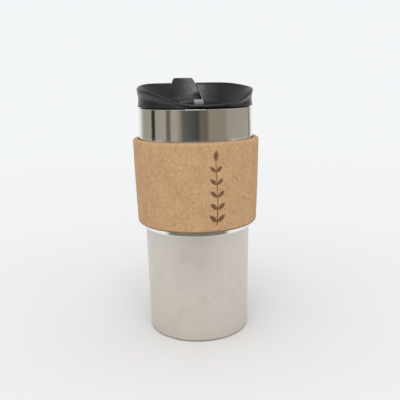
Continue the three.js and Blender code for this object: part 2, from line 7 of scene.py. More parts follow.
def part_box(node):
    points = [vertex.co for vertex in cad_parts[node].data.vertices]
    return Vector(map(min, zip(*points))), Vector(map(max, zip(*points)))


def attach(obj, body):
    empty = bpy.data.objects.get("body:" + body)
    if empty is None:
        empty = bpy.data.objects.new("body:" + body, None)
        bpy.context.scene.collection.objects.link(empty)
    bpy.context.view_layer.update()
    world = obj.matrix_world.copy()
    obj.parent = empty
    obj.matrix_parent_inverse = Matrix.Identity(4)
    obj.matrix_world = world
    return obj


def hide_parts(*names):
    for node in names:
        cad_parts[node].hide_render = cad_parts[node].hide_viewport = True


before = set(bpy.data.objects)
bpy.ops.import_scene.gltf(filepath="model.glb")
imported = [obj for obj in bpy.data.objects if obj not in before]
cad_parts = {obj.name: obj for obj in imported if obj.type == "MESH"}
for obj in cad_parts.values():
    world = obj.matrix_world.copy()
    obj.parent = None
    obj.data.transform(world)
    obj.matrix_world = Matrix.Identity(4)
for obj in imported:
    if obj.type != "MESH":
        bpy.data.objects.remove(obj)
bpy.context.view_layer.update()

# ---- Camera ----
# It stands in front of the lid's low side and a little to the left, just above the lid, and looks down.
STAND_OFF = 0.36647  # camera to the mug's axis
EYE_HEIGHT = 0.17336
STEP_LEFT = math.radians(13)
PITCH = math.radians(-12.533)
YAW = math.radians(0.337)
ROLL = math.radians(-1.071)
camera_data = bpy.data.cameras.new("camera")
camera_data.sensor_width = 36.0
camera_data.lens = 47.16
camera_data.clip_start = 0.01
camera = bpy.data.objects.new("camera", camera_data)
bpy.context.scene.collection.objects.link(camera)
turn_to_level = Matrix.Rotation(math.radians(90), 4, "X")
aim = Matrix.Rotation(-YAW, 4, "Z") @ Matrix.Rotation(PITCH, 4, "X") @ turn_to_level
aim = aim @ Matrix.Rotation(ROLL, 4, "Z")
place = Matrix.Rotation(-STEP_LEFT, 4, "Z") @ Matrix.Translation((0, -STAND_OFF, EYE_HEIGHT))
camera.matrix_world = place @ aim
bpy.context.scene.camera = camera
bpy.context.scene.view_settings.view_transform = "Standard"

# ---- Table and studio ----
# A pale table top that fades into a pale room, so that no horizon shows. The light is soft and comes
# from all round, with a large soft box overhead and a wide one in front.
ROOM_WHITE = (0.896, 0.913, 0.93, 1)
TABLE_WHITE = (0.79, 0.778, 0.765, 1)


def add_node(tree, kind, inputs=None, **settings):
    """Adds a shader node. Its inputs are given as values or as the sockets that feed them."""
    node = tree.nodes.new("ShaderNode" + kind)
    for key, value in settings.items():
        setattr(node, key, value)
    for socket, value in (inputs or {}).items():
        if isinstance(value, bpy.types.NodeSocket):
            tree.links.new(value, node.inputs[socket])
        else:
            node.inputs[socket].default_value = value
    return node


def maths(tree, operation, *values):
    """Adds a Math node and returns what it puts out."""
    return add_node(tree, "Math", dict(enumerate(values)), operation=operation).outputs[0]


def faded(tree, value, start, end, first=0.0, last=1.0, curve="LINEAR"):
    """How far a value has come from start to end, told as a number from first to last."""
    limits = {"From Min": start, "From Max": end, "To Min": first, "To Max": last}
    return add_node(tree, "MapRange", {"Value": value, **limits}, interpolation_type=curve).outputs[0]


def ramp(tree, factor, stops):
    """Adds a Color Ramp with (place, colour) stops and returns its colour."""
    node = add_node(tree, "ValToRGB", {"Fac": factor})
    elements = node.color_ramp.elements
    elements.remove(elements[1])
    elements[0].position, elements[0].color = stops[0]
    for position, color in stops[1:]:
        elements.new(position).color = color
    return node.outputs["Color"]


def mixed(tree, factor, first, second, blend="MIX"):
    """Mixes two colours and returns the result."""
    node = add_node(tree, "Mix", data_type="RGBA", blend_type=blend)
    for socket, value in ((0, factor), (6, first), (7, second)):
        if isinstance(value, bpy.types.NodeSocket):
            tree.links.new(value, node.inputs[socket])
        else:
            node.inputs[socket].default_value = value
    return node.outputs[2]


def new_material(name):
    """A new material with a Principled shader. Returns the material, its node tree and the shader."""
    material = bpy.data.materials.new(name)
    material.use_nodes = True
    return material, material.node_tree, material.node_tree.nodes["Principled BSDF"]


bpy.ops.object.select_all(action="DESELECT")
bpy.ops.mesh.primitive_circle_add(vertices=128, radius=1.3, fill_type="NGON")
table_top = bpy.context.object
table_top.name = "table_top"
material, tree, shader = new_material("pale_table")
spot = add_node(tree, "TexCoord").outputs["Object"]
away = add_node(tree, "VectorMath", {0: spot}, operation="LENGTH").outputs["Value"]
fade = faded(tree, away, 0.06, 0.34, curve="SMOOTHSTEP")
mottle = add_node(tree, "TexNoise", {"Vector": spot, "Scale": 9.0, "Detail": 3.0}).outputs["Fac"]
shade = mixed(tree, mottle, (0.77, 0.758, 0.745, 1), TABLE_WHITE)
tree.links.new(shade, shader.inputs["Base Color"])
shader.inputs["Roughness"].default_value = 0.7
shader.inputs["Specular IOR Level"].default_value = 0.15
far = faded(tree, away, 0.3, 1.2, curve="SMOOTHSTEP")
haze = mixed(tree, far, (0.875, 0.885, 0.9, 1), ROOM_WHITE)
part = add_node(tree, "SeparateXYZ", {0: spot})
# Painted reflection: towards the camera the table turns dark for glossy rays only, so the steel mirrors a
# dark patch there.
to_camera = maths(tree, "MULTIPLY", part.outputs["X"], -math.sin(STEP_LEFT))
to_camera = maths(tree, "MULTIPLY_ADD", part.outputs["Y"], -math.cos(STEP_LEFT), to_camera)
reflection_darkening = faded(tree, to_camera, 0.22, 0.5, curve="SMOOTHSTEP")
reflection_darkening = maths(tree, "MULTIPLY", reflection_darkening, add_node(tree, "LightPath").outputs["Is Glossy Ray"])
haze = mixed(tree, reflection_darkening, haze, (0.2, 0.19, 0.17, 1))  # painted reflection: the table reads dark towards the camera in glossy rays only
glow = add_node(tree, "Emission", {"Color": haze, "Strength": 1.0})
blend = add_node(tree, "MixShader", {0: fade, 1: shader.outputs[0], 2: glow.outputs[0]})
tree.links.new(blend.outputs[0], tree.nodes["Material Output"].inputs["Surface"])
table_top.data.materials.append(material)

# What the polished steel mirrors: the room round the table, as colours by compass direction from the
# mug. The places run from -180 to 180 degrees, and 0 is towards the camera.
ROOM_LIGHT = (0.86, 0.86, 0.85, 1)
ROOM_WARM = (0.37, 0.34, 0.28, 1)
ROOM_BEIGE = (0.33, 0.31, 0.26, 1)
ROOM_TAN = (0.26, 0.23, 0.175, 1)
ROOM_BROWN = (0.14, 0.12, 0.1, 1)
ROOM_GREY = (0.11, 0.11, 0.105, 1)
ROOM_DEEP = (0.055, 0.057, 0.052, 1)
ROOM_DARK = (0.04, 0.032, 0.024, 1)
room_views = [
    (-180, ROOM_LIGHT),
    (-150, ROOM_LIGHT),
    (-126, ROOM_BEIGE),
    (-99, ROOM_BEIGE),
    (-96, ROOM_DARK),
    (-88, ROOM_DARK),
    (-86, ROOM_BEIGE),
    (-61, ROOM_WARM),
    (-59, ROOM_BROWN),
    (-51, ROOM_BROWN),
    (-49, ROOM_WARM),
    (-38, ROOM_WARM),
    (-30, ROOM_TAN),
    (-25, ROOM_GREY),
    (5, ROOM_DEEP),
    (10, ROOM_BROWN),
    (22, ROOM_BROWN),
    (28, ROOM_TAN),
    (60, ROOM_TAN),
    (67, ROOM_BEIGE),
    (120, ROOM_WARM),
    (131, ROOM_WARM),
    (135, ROOM_BROWN),
    (139, ROOM_WARM),
    (150, ROOM_LIGHT),
]
world = bpy.data.worlds.new("room")
bpy.context.scene.world = world
world.use_nodes = True
tree = world.node_tree
direction = add_node(tree, "SeparateXYZ", {0: add_node(tree, "TexCoord").outputs["Generated"]})
ahead = maths(tree, "MULTIPLY", direction.outputs["Y"], -1.0)
compass = maths(tree, "ARCTAN2", direction.outputs["X"], ahead)
turned_compass = maths(tree, "ADD", compass, STEP_LEFT + 3 * math.pi)  # 0 comes half-way along
around = maths(tree, "FRACT", maths(tree, "DIVIDE", turned_compass, 2 * math.pi))
room = ramp(tree, around, [((place + 180) / 360, color) for place, color in room_views])
ceiling = faded(tree, direction.outputs["Z"], 0.12, 0.5)
room = mixed(tree, ceiling, room, (0.42, 0.42, 0.415, 1))
light_path = add_node(tree, "LightPath")
seen = mixed(tree, light_path.outputs["Is Glossy Ray"], (0.93, 0.93, 0.94, 1), room)
seen = mixed(tree, light_path.outputs["Is Camera Ray"], seen, ROOM_WHITE)
tree.links.new(seen, tree.nodes["Background"].inputs["Color"])

for name, place, width, depth, power in (
    ("soft_box", (-0.25, -0.35, 1.1), 0.9, 0.9, 1.2),
    ("front_box", (-0.11, -0.49, 1.0), 0.55, 0.25, 2.2),
):
    bpy.ops.object.light_add(type="AREA", location=place)
    box = bpy.context.object
    box.name = name
    box.data.shape = "RECTANGLE"
    box.data.size = width
    box.data.size_y = depth
    box.data.energy = power
    to_mug = Vector((0, 0, 0.1)) - box.location
    box.rotation_euler = to_mug.to_track_quat("-Z", "Y").to_euler()

# ---- Lower wall ----
# The brushed outer wall below the cork: one drawn steel shell, a slight cone. It stops just short of
# the table, and its top runs up inside the polished collar.
MM = 0.001
SEGMENTS = 192
WELD = 0.002 * MM  # points closer than this become one


def size_of(node):
    """Lowest and highest corner of a CAD node, in millimetres."""
    return [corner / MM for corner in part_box(node)]


def rounded(corners, steps=6):
    """An outline from its corners, in millimetres. A third number rounds that corner to that radius."""
    outline = []
    for i, (x, z, *radius) in enumerate(corners):
        here = Vector((x, z))
        if not radius:
            outline.append(here)
            continue
        before = (Vector(corners[i - 1][:2]) - here).normalized()
        after = (Vector(corners[(i + 1) % len(corners)][:2]) - here).normalized()
        half = before.angle(after) / 2
        middle = here + (before + after).normalized() * radius[0] / math.sin(half)
        reach = radius[0] / math.tan(half)
        first = (here + before * reach - middle).normalized()
        last = (here + after * reach - middle).normalized()
        for k in range(steps + 1):
            outline.append(middle + first.slerp(last, k / steps).normalized() * radius[0])
    return outline


def draw_outline(name, points, closed=True):
    """Draws a line through the points, corner by corner, and leaves it selected in edit mode."""
    bpy.ops.object.select_all(action="DESELECT")
    bpy.ops.mesh.primitive_plane_add(size=MM)
    piece = bpy.context.object
    piece.name = name
    bpy.ops.object.mode_set(mode="EDIT")
    bpy.ops.mesh.merge(type="CENTER")
    here = Vector(points[0]) * MM
    bpy.ops.transform.translate(value=here)
    for point in [*points[1:], *([points[0]] if closed else [])]:
        there = Vector(point) * MM
        bpy.ops.mesh.extrude_vertices_move(TRANSFORM_OT_translate={"value": there - here})
        here = there
    bpy.ops.mesh.select_all(action="SELECT")
    bpy.ops.mesh.remove_doubles(threshold=WELD)
    return piece


def smooth(piece, angle=30):
    """Shades the piece smooth, apart from edges sharper than the angle in degrees."""
    bpy.ops.object.select_all(action="DESELECT")
    piece.select_set(True)
    bpy.context.view_layer.objects.active = piece
    bpy.ops.object.shade_smooth_by_angle(angle=math.radians(angle))


def turned(name, outline, y=0, closed=True):
    """Turns a half section of (radius, height) points, in millimetres, round an upright axis at y."""
    piece = draw_outline(name, [(r, y, z) for r, z in outline], closed)
    bpy.ops.mesh.spin(
        steps=SEGMENTS, angle=2 * math.pi, center=(0, y * MM, 0), axis=(0, 0, 1), use_auto_merge=True
    )
    bpy.ops.mesh.select_all(action="SELECT")
    bpy.ops.mesh.remove_doubles(threshold=WELD)
    bpy.ops.mesh.normals_make_consistent(inside=False)
    bpy.ops.object.mode_set(mode="OBJECT")
    smooth(piece)
    return piece


def fit_piece(piece, body, slot, material, *nodes):
    """Gives a finished piece its material and lets it stand for its CAD nodes."""
    piece.data.materials.clear()
    piece.data.materials.append(material)
    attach(piece, body)
    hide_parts(*nodes)


def new_group(name, inputs, outputs):
    """A shader node group with float inputs (name: default) and outputs (name: socket type)."""
    group = bpy.data.node_groups.new(name, "ShaderNodeTree")
    for label, default in inputs.items():
        socket = group.interface.new_socket(label, in_out="INPUT", socket_type="NodeSocketFloat")
        socket.default_value = default
    for label, kind in outputs.items():
        group.interface.new_socket(label, in_out="OUTPUT", socket_type=kind)
    entry = group.nodes.new("NodeGroupInput")
    leave = group.nodes.new("NodeGroupOutput")
    return group, entry.outputs, leave.inputs


def place_group(tree, group, **inputs):
    """Places a node group in a tree with its own values and returns its outputs."""
    node = add_node(tree, "Group", node_tree=group)
    for socket, value in inputs.items():
        node.inputs[socket].default_value = value
    return node.outputs


# Soft patches where hands have touched: a mask from 0 to 1.
settings = {"Scale": 40.0, "Cover": 0.5}
handling, given, result = new_group("handling_marks", settings, {"Mask": "NodeSocketFloat"})
spot = add_node(handling, "TexCoord").outputs["Object"]
patch_look = {"Scale": given["Scale"], "Detail": 4.0, "Distortion": 0.6}
patches = add_node(handling, "TexNoise", {"Vector": spot, **patch_look}).outputs["Fac"]
lower_edge = maths(handling, "SUBTRACT", 0.75, maths(handling, "MULTIPLY", given["Cover"], 0.5))
upper_edge = maths(handling, "ADD", lower_edge, 0.2)
mask = faded(handling, patches, lower_edge, upper_edge, curve="SMOOTHSTEP")
handling.links.new(mask, result["Mask"])

# Fine lines that run round the piece, as a brush or a polishing wheel leaves them.
brushing, given, result = new_group("brushed_lines", {"Fineness": 9000.0}, {"Lines": "NodeSocketFloat"})
spot = add_node(brushing, "TexCoord").outputs["Object"]
part = add_node(brushing, "SeparateXYZ", {0: spot})
height = maths(brushing, "MULTIPLY", part.outputs["Z"], given["Fineness"])
along = add_node(
    brushing,
    "CombineXYZ",
    {
        "X": maths(brushing, "MULTIPLY", part.outputs["X"], 60.0),
        "Y": maths(brushing, "MULTIPLY", part.outputs["Y"], 60.0),
        "Z": height,
    },
)
line_look = {"Scale": 1.0, "Detail": 3.0, "Roughness": 0.6}
lines = add_node(brushing, "TexNoise", {"Vector": along.outputs[0], **line_look}).outputs["Fac"]
brushing.links.new(lines, result["Lines"])

# Satin stainless steel: fine lines round the mug, and faint smudges, broad pale ones and small dark ones.
satin_steel, tree, shader = new_material("satin_steel")
lines = place_group(tree, brushing, Fineness=9000.0)["Lines"]
marks = place_group(tree, handling, Scale=38.0, Cover=0.62)["Mask"]
small_marks = place_group(tree, handling, Scale=120.0, Cover=0.5)["Mask"]
base = mixed(tree, lines, (0.63, 0.588, 0.532, 1), (0.74, 0.692, 0.628, 1))
base = mixed(tree, maths(tree, "MULTIPLY", marks, 0.3), base, (0.76, 0.73, 0.69, 1))
base = mixed(tree, maths(tree, "MULTIPLY", small_marks, 0.18), base, (0.5, 0.46, 0.41, 1))
tree.links.new(base, shader.inputs["Base Color"])
dull = maths(tree, "MULTIPLY_ADD", lines, 0.12, 0.27)
dull = maths(tree, "MULTIPLY_ADD", marks, 0.08, dull)
tree.links.new(dull, shader.inputs["Roughness"])
shader.inputs["Metallic"].default_value = 1.0
relief = add_node(tree, "Bump", {"Height": lines, "Strength": 0.12, "Distance": 0.05 * MM})
tree.links.new(relief.outputs[0], shader.inputs["Normal"])

SHEET = 0.5  # steel sheet
low, high = size_of("lower_shell")
top_radius = high.x
foot_radius = top_radius - 0.93
lap = 14  # the wall is straight from here up, inside the collar
wall = [
    (foot_radius - 0.45, low.z, 0.12),
    (foot_radius - 0.08, low.z, 0.25),
    (foot_radius + 0.02, low.z + 1.2),
    (foot_radius + 0.12, low.z + 22),
    (top_radius, high.z - lap),
    (top_radius, high.z),
    (top_radius - SHEET, high.z),
    (top_radius - SHEET, high.z - lap),
    (foot_radius + 0.12 - SHEET, low.z + 22),
    (foot_radius + 0.02 - SHEET, low.z + 1.2),
]
lower_wall = turned("lower_wall", rounded(wall))
fit_piece(lower_wall, "mug", "satin_steel", satin_steel, "lower_shell")

# ---- Base ----
# A pressed steel dish that closes the outer wall from below. Its rounded ring is what stands on the table.
low, high = size_of("base_plate")
outside = high.x
ring_width = 3.2
dish = 1.8
dish_radius = outside - ring_width
base_section = [
    (0, dish),
    (dish_radius - dish, dish, 0.8),
    (dish_radius, low.z, 0.5),
    (outside, low.z, 0.6),
    (outside, high.z),
    (outside - SHEET, high.z),
    (outside - SHEET, SHEET, 0.2),
    (dish_radius + SHEET / 2, SHEET, 0.3),
    (dish_radius - dish + SHEET / 2, dish + SHEET, 0.6),
    (0, dish + SHEET),
]
base = turned("base", rounded(base_section), closed=False)
fit_piece(base, "mug", "satin_steel", satin_steel, "base_plate")

# ---- Collar ----
# The mirror-polished upper wall. It shows as a band between lid and cork and as a narrow strip below
# the cork, and its top edge is rolled into the rim.
polished_steel, tree, shader = new_material("polished_steel")
lines = place_group(tree, brushing, Fineness=2600.0)["Lines"]
marks = place_group(tree, handling, Scale=60.0, Cover=0.55)["Mask"]
base = mixed(tree, lines, (0.88, 0.87, 0.85, 1), (0.94, 0.93, 0.91, 1))
base = mixed(tree, maths(tree, "MULTIPLY", marks, 0.25), base, (0.8, 0.78, 0.75, 1))
tree.links.new(base, shader.inputs["Base Color"])
dull = maths(tree, "MULTIPLY_ADD", lines, 0.03, 0.035)
dull = maths(tree, "MULTIPLY_ADD", marks, 0.07, dull)
tree.links.new(dull, shader.inputs["Roughness"])
shader.inputs["Metallic"].default_value = 1.0
spot = add_node(tree, "TexCoord").outputs["Object"]
waves = add_node(tree, "TexNoise", {"Vector": spot, "Scale": 45.0, "Detail": 1.0}).outputs["Fac"]
relief = add_node(tree, "Bump", {"Height": waves, "Strength": 0.25, "Distance": 0.12 * MM})
tree.links.new(relief.outputs[0], shader.inputs["Normal"])

low, high = size_of("collar_shell")
cork_low, cork_high = size_of("cork_sleeve")
widest = high.x
bulge = 0.42  # it is this much wider at the cork's top than at the rim
rim_bead = 0.8  # radius of the rolled rim
collar_foot_radius = size_of("lower_shell")[1].x + 0.3 + SHEET
throat = high.z - 2 * rim_bead
bead_radius = widest - bulge - rim_bead - 0.05


def collar_radius(z):
    """Outside of the collar: a cone up to the cork's top, then slightly in to the rim."""
    if z < cork_high.z:
        return collar_foot_radius + (widest - collar_foot_radius) * (z - low.z) / (cork_high.z - low.z)
    return widest - bulge * (z - cork_high.z) / (throat - cork_high.z)


def arc(x, z, radius, start, end, steps=12):
    """Points of an arc round (x, z), from one angle to another in degrees."""
    angles = [math.radians(start + (end - start) * k / steps) for k in range(steps + 1)]
    return [Vector((x + radius * math.cos(a), z + radius * math.sin(a))) for a in angles]


foot_flare = 0.36  # the strip below the cork opens a little towards its edge
flare_top = cork_low.z - low.z - 0.3
collar_section = [
    Vector((collar_foot_radius - SHEET + 0.1, low.z)),
    *arc(collar_radius(low.z) + foot_flare - 0.2, low.z + 0.2, 0.2, -90, 0, 4),
    Vector((collar_radius(low.z) + foot_flare * 0.95, low.z + 0.35)),
    Vector((collar_radius(low.z + flare_top) + foot_flare * 0.03, low.z + flare_top - 0.1)),
    Vector((collar_radius(low.z + flare_top), low.z + flare_top)),
    Vector((collar_radius(cork_low.z), cork_low.z)),
    Vector((collar_radius(cork_high.z - 8), cork_high.z - 8)),
    Vector((widest - 0.01, cork_high.z)),
    Vector((collar_radius(throat - 8), throat - 8)),
    Vector((collar_radius(throat), throat)),
    *arc(bead_radius, high.z - rim_bead, rim_bead, 0, 215, 18),
    Vector((bead_radius - 0.2, throat + 0.35)),
    Vector((widest - bulge - SHEET - 0.1, throat - 0.3)),
    Vector((widest - SHEET, cork_high.z)),
    Vector((collar_foot_radius - SHEET, low.z + 0.4)),
]
collar = turned("collar", collar_section)
fit_piece(collar, "mug", "polished_steel", polished_steel, "collar_shell")

# ---- Inner cup ----
# The drawn steel cup that holds the drink: a rounded floor, a straight wall, a shoulder that widens to
# the mouth, and the rolled thread that the lid screws into.
THREAD_TURNS = 0.9
THREAD_LEAD = 8
THREAD_BEAD = 1.1  # radius of the round bead


def thread(name, radius, start_height):
    """A right-handed helical bead, from a circle that a Screw modifier sweeps round the axis."""
    bpy.ops.object.select_all(action="DESELECT")
    bpy.ops.mesh.primitive_circle_add(
        vertices=20,
        radius=THREAD_BEAD * MM,
        fill_type="NGON",
        location=(radius * MM, 0, start_height * MM),
        rotation=(math.pi / 2, 0, 0),
    )
    bead = bpy.context.object
    bead.name = name
    bpy.ops.object.transform_apply(location=True, rotation=True, scale=True)
    screw = bead.modifiers.new("screw", "SCREW")
    screw.angle = THREAD_TURNS * 2 * math.pi
    screw.screw_offset = THREAD_TURNS * THREAD_LEAD * MM
    screw.steps = screw.render_steps = 150
    screw.use_merge_vertices = False
    bpy.ops.object.modifier_apply(modifier=screw.name)
    bpy.ops.object.mode_set(mode="EDIT")
    bpy.ops.mesh.select_all(action="SELECT")
    bpy.ops.mesh.remove_doubles(threshold=WELD)
    bpy.ops.mesh.select_all(action="DESELECT")
    bpy.ops.mesh.select_non_manifold()
    bpy.ops.mesh.edge_face_add()
    bpy.ops.mesh.select_all(action="SELECT")
    bpy.ops.mesh.normals_make_consistent(inside=False)
    bpy.ops.object.mode_set(mode="OBJECT")
    return bead


def carve(piece, tool, operation="DIFFERENCE"):
    """Cuts a tool piece out of another, or joins it on, and throws the tool away."""
    bpy.ops.object.select_all(action="DESELECT")
    piece.select_set(True)
    bpy.context.view_layer.objects.active = piece
    boolean = piece.modifiers.new("carve", "BOOLEAN")
    boolean.operation = operation
    boolean.solver = "EXACT"
    boolean.object = tool
    bpy.ops.object.modifier_apply(modifier=boolean.name)
    bpy.data.objects.remove(tool)


low, high = size_of("inner_liner")
mouth_outside = high.x
mouth = mouth_outside - SHEET
plug_low = size_of("lid_plug")[0]
shoulder_top = plug_low.z - 2
shoulder_bottom = shoulder_top - 5.4
waist = size_of("lower_shell")[1].x - SHEET - 4.6 - SHEET
floor_radius = foot_radius - SHEET - 6
cup_section = [
    (0, low.z),
    (floor_radius, low.z, 5),
    (waist + SHEET, shoulder_bottom, 2),
    (mouth_outside, shoulder_top, 2),
    (mouth_outside, high.z),
    (mouth, high.z),
    (mouth, shoulder_top + 0.2, 2),
    (waist, shoulder_bottom + 0.2, 2),
    (floor_radius - SHEET, low.z + SHEET, 4.5),
    (0, low.z + SHEET),
]
inner_cup = turned("inner_cup", rounded(cup_section), closed=False)
thread_room = 0.75  # the bead stands this far into the mouth
lid_seal_low = size_of("lid_seal")[0]
thread_start = lid_seal_low.z - 0.3 - THREAD_BEAD - THREAD_TURNS * THREAD_LEAD
cup_thread = thread("cup_thread", mouth - thread_room + THREAD_BEAD, thread_start)
sleeve_foot = low.z + 90  # well below the thread
sleeve_section = [
    (mouth - 4, sleeve_foot),
    (mouth + 0.25, sleeve_foot),
    (mouth + 0.25, high.z),
    (mouth - 4, high.z),
]
thread_sleeve = turned("thread_sleeve", sleeve_section)
carve(cup_thread, thread_sleeve, "INTERSECT")
carve(inner_cup, cup_thread, "UNION")
smooth(inner_cup)
fit_piece(inner_cup, "mug", "satin_steel", satin_steel, "inner_liner")

# ---- Cork band ----
# A sleeve of pressed cork granules, turned and sanded, that wedges on the collar's cone and keeps the
# hand off the steel. A sprig of leaves is burnt into its front.
cork, tree, shader = new_material("cork")
spot = add_node(tree, "TexCoord").outputs["Object"]
wobble = add_node(tree, "TexNoise", {"Vector": spot, "Scale": 900.0, "Detail": 2.0}).outputs["Color"]
shifted = add_node(tree, "VectorMath", {0: wobble, 1: (0.5, 0.5, 0.5)}, operation="SUBTRACT").outputs[0]
shifted = add_node(tree, "VectorMath", {0: shifted, "Scale": 0.9 * MM}, operation="SCALE").outputs[0]
granule_spot = add_node(tree, "VectorMath", {0: spot, 1: shifted}, operation="ADD").outputs[0]
granule_look = {"Vector": granule_spot, "Scale": 620.0, "Randomness": 1.0}
granules = add_node(tree, "TexVoronoi", granule_look)
joints = add_node(tree, "TexVoronoi", granule_look, feature="DISTANCE_TO_EDGE")
tint = add_node(tree, "SeparateColor", {0: granules.outputs["Color"]}).outputs[0]
granule_tones = [
    (0.0, (0.44, 0.255, 0.125, 1)),
    (0.2, (0.51, 0.305, 0.152, 1)),
    (0.6, (0.55, 0.337, 0.172, 1)),
    (1.0, (0.61, 0.39, 0.215, 1)),
]
tone = ramp(tree, tint, granule_tones)
mottle = add_node(tree, "TexNoise", {"Vector": spot, "Scale": 110.0, "Detail": 3.0}).outputs["Fac"]
mottled = ramp(tree, mottle, [(0.3, (0.49, 0.29, 0.145, 1)), (0.7, (0.605, 0.385, 0.21, 1))])
tone = mixed(tree, 0.5, tone, mottled)
seam = faded(tree, joints.outputs["Distance"], 0.0, 0.09, first=0.35, last=0.0)
tone = mixed(tree, seam, tone, (0.2, 0.1, 0.045, 1))
fleck_noise = add_node(tree, "TexNoise", {"Vector": spot, "Scale": 520.0, "Detail": 2.0, "Roughness": 0.6})
flecks = faded(tree, fleck_noise.outputs["Fac"], 0.68, 0.74)
tone = mixed(tree, maths(tree, "MULTIPLY", flecks, 0.75), tone, (0.13, 0.058, 0.024, 1))

# The sprig: a stem with pairs of leaves that get smaller upwards, and one leaf at its tip. "aside" and
# "up" are millimetres across and along it.
low, high = size_of("cork_sleeve")
SPRIG_SIDE = math.radians(4.4)  # its place round the band
SPRIG_LENGTH = 49
SPRIG_FOOT = low.z + 4.8
LEAF_PAIRS = 5
LEAF_PITCH = 8.2
LEAF_LENGTH = 7.4
LEAF_HALF_WIDTH = 1.5
LEAF_LEAN = math.radians(48)  # from the stem
part = add_node(tree, "SeparateXYZ", {0: spot})
compass = maths(tree, "ARCTAN2", part.outputs["X"], maths(tree, "MULTIPLY", part.outputs["Y"], -1.0))
aside = maths(tree, "MULTIPLY", maths(tree, "SUBTRACT", compass, SPRIG_SIDE), high.x)
up = maths(tree, "MULTIPLY_ADD", part.outputs["Z"], 1 / MM, -SPRIG_FOOT)
sway = maths(tree, "MULTIPLY", maths(tree, "SINE", maths(tree, "MULTIPLY", up, 0.11)), 0.6)
aside = maths(tree, "SUBTRACT", aside, sway)
out = maths(tree, "ABSOLUTE", aside)


def leaf(tree, along, across, length, half_width):
    """A lens-shaped leaf with a pale midrib: how far inside it a point is, in millimetres."""
    share = maths(tree, "DIVIDE", along, length)
    swell = maths(tree, "MULTIPLY", share, maths(tree, "SUBTRACT", 1.0, share))
    edge = maths(tree, "MULTIPLY", swell, 4 * half_width)
    sideways = maths(tree, "ABSOLUTE", across)
    inside = maths(tree, "SUBTRACT", edge, sideways)
    beside_rib = maths(tree, "MULTIPLY_ADD", sideways, 2.5, -0.12)
    return maths(tree, "MINIMUM", inside, beside_rib)


pair = maths(tree, "FLOOR", maths(tree, "DIVIDE", maths(tree, "SUBTRACT", up, 1.5), LEAF_PITCH))
pair = maths(tree, "MINIMUM", maths(tree, "MAXIMUM", pair, 0.0), LEAF_PAIRS - 1.0)
size = maths(tree, "MULTIPLY_ADD", pair, -0.06, 1.0)
step = maths(tree, "SUBTRACT", maths(tree, "SUBTRACT", up, 2.2), maths(tree, "MULTIPLY", pair, LEAF_PITCH))
lean_sine = math.sin(LEAF_LEAN)
lean_cosine = math.cos(LEAF_LEAN)
along = maths(tree, "MULTIPLY_ADD", out, lean_sine, maths(tree, "MULTIPLY", step, lean_cosine))
across = maths(tree, "MULTIPLY_ADD", out, -lean_cosine, maths(tree, "MULTIPLY", step, lean_sine))
along = maths(tree, "DIVIDE", along, size)
across = maths(tree, "DIVIDE", across, size)
side_leaves = leaf(tree, along, across, LEAF_LENGTH, LEAF_HALF_WIDTH)
tip_foot = LEAF_PAIRS * LEAF_PITCH + 0.8
tip_leaf = leaf(tree, maths(tree, "SUBTRACT", up, tip_foot), aside, SPRIG_LENGTH - tip_foot, LEAF_HALF_WIDTH)
stem_width = maths(tree, "MULTIPLY_ADD", up, -0.004, 0.42)
stem = maths(tree, "SUBTRACT", stem_width, out)
above_foot = maths(tree, "MINIMUM", up, maths(tree, "SUBTRACT", tip_foot + 1.0, up))
stem = maths(tree, "MINIMUM", stem, above_foot)
sprig = maths(tree, "MAXIMUM", maths(tree, "MAXIMUM", side_leaves, tip_leaf), stem)
front = maths(tree, "COMPARE", compass, SPRIG_SIDE, 0.3)
burnt = maths(tree, "MULTIPLY", faded(tree, sprig, -0.05, 0.22, curve="SMOOTHSTEP"), front)
scorched = maths(tree, "MULTIPLY", faded(tree, sprig, -0.7, 0.0, last=0.22), front)
tone = mixed(tree, scorched, tone, (0.25, 0.125, 0.05, 1))
char = mixed(tree, mottle, (0.085, 0.034, 0.014, 1), (0.16, 0.07, 0.028, 1))
tone = mixed(tree, maths(tree, "MULTIPLY", burnt, 0.93), tone, char)
# Painted shade: the cork is painted dark brown along its seam against the steel and along its lower edge,
# where it meets the collar.
level = add_node(tree, "VectorMath", {0: spot, 1: (1.0, 1.0, 0.0)}, operation="MULTIPLY").outputs[0]
radius = add_node(tree, "VectorMath", {0: level}, operation="LENGTH").outputs["Value"]
seam_radius = size_of("collar_shell")[1].x * MM
by_seam = faded(tree, radius, seam_radius + 1.1 * MM, seam_radius + 0.5 * MM)
by_foot = faded(tree, part.outputs["Z"], (low.z + 1.7) * MM, (low.z + 0.6) * MM)
painted_edge_shade = maths(tree, "MAXIMUM", by_seam, by_foot)
painted_edge_shade = maths(tree, "MULTIPLY", painted_edge_shade, maths(tree, "MULTIPLY_ADD", mottle, 0.9, 0.35))
# painted shade at the seam and the lower edge
tone = mixed(tree, painted_edge_shade, tone, (0.13, 0.062, 0.03, 1))
tree.links.new(tone, shader.inputs["Base Color"])
dull = maths(tree, "MULTIPLY_ADD", tint, 0.12, 0.74)
tree.links.new(dull, shader.inputs["Roughness"])
shader.inputs["Specular IOR Level"].default_value = 0.3
grain = maths(tree, "MULTIPLY_ADD", seam, -0.8, maths(tree, "MULTIPLY", tint, 0.35))
grain = maths(tree, "MULTIPLY_ADD", flecks, -1.0, grain)
grain = maths(tree, "MULTIPLY_ADD", burnt, -1.6, grain)
relief = add_node(tree, "Bump", {"Height": grain, "Strength": 0.5, "Distance": 0.1 * MM})
tree.links.new(relief.outputs[0], shader.inputs["Normal"])

cork_thickness = 4.3
cork_edge = 1.6
belly = 0.2
side_rings = 44
collar_low = size_of("collar_shell")[0]


def cork_outside(z):
    """Outside of the band: the collar's cone with a slight belly."""
    share = (z - low.z) / (high.z - low.z)
    up_cone = (z - collar_low.z) / (high.z - collar_low.z)
    cone = collar_foot_radius + (widest - collar_foot_radius) * up_cone
    return cone + cork_thickness + belly * math.sin(math.pi * share)


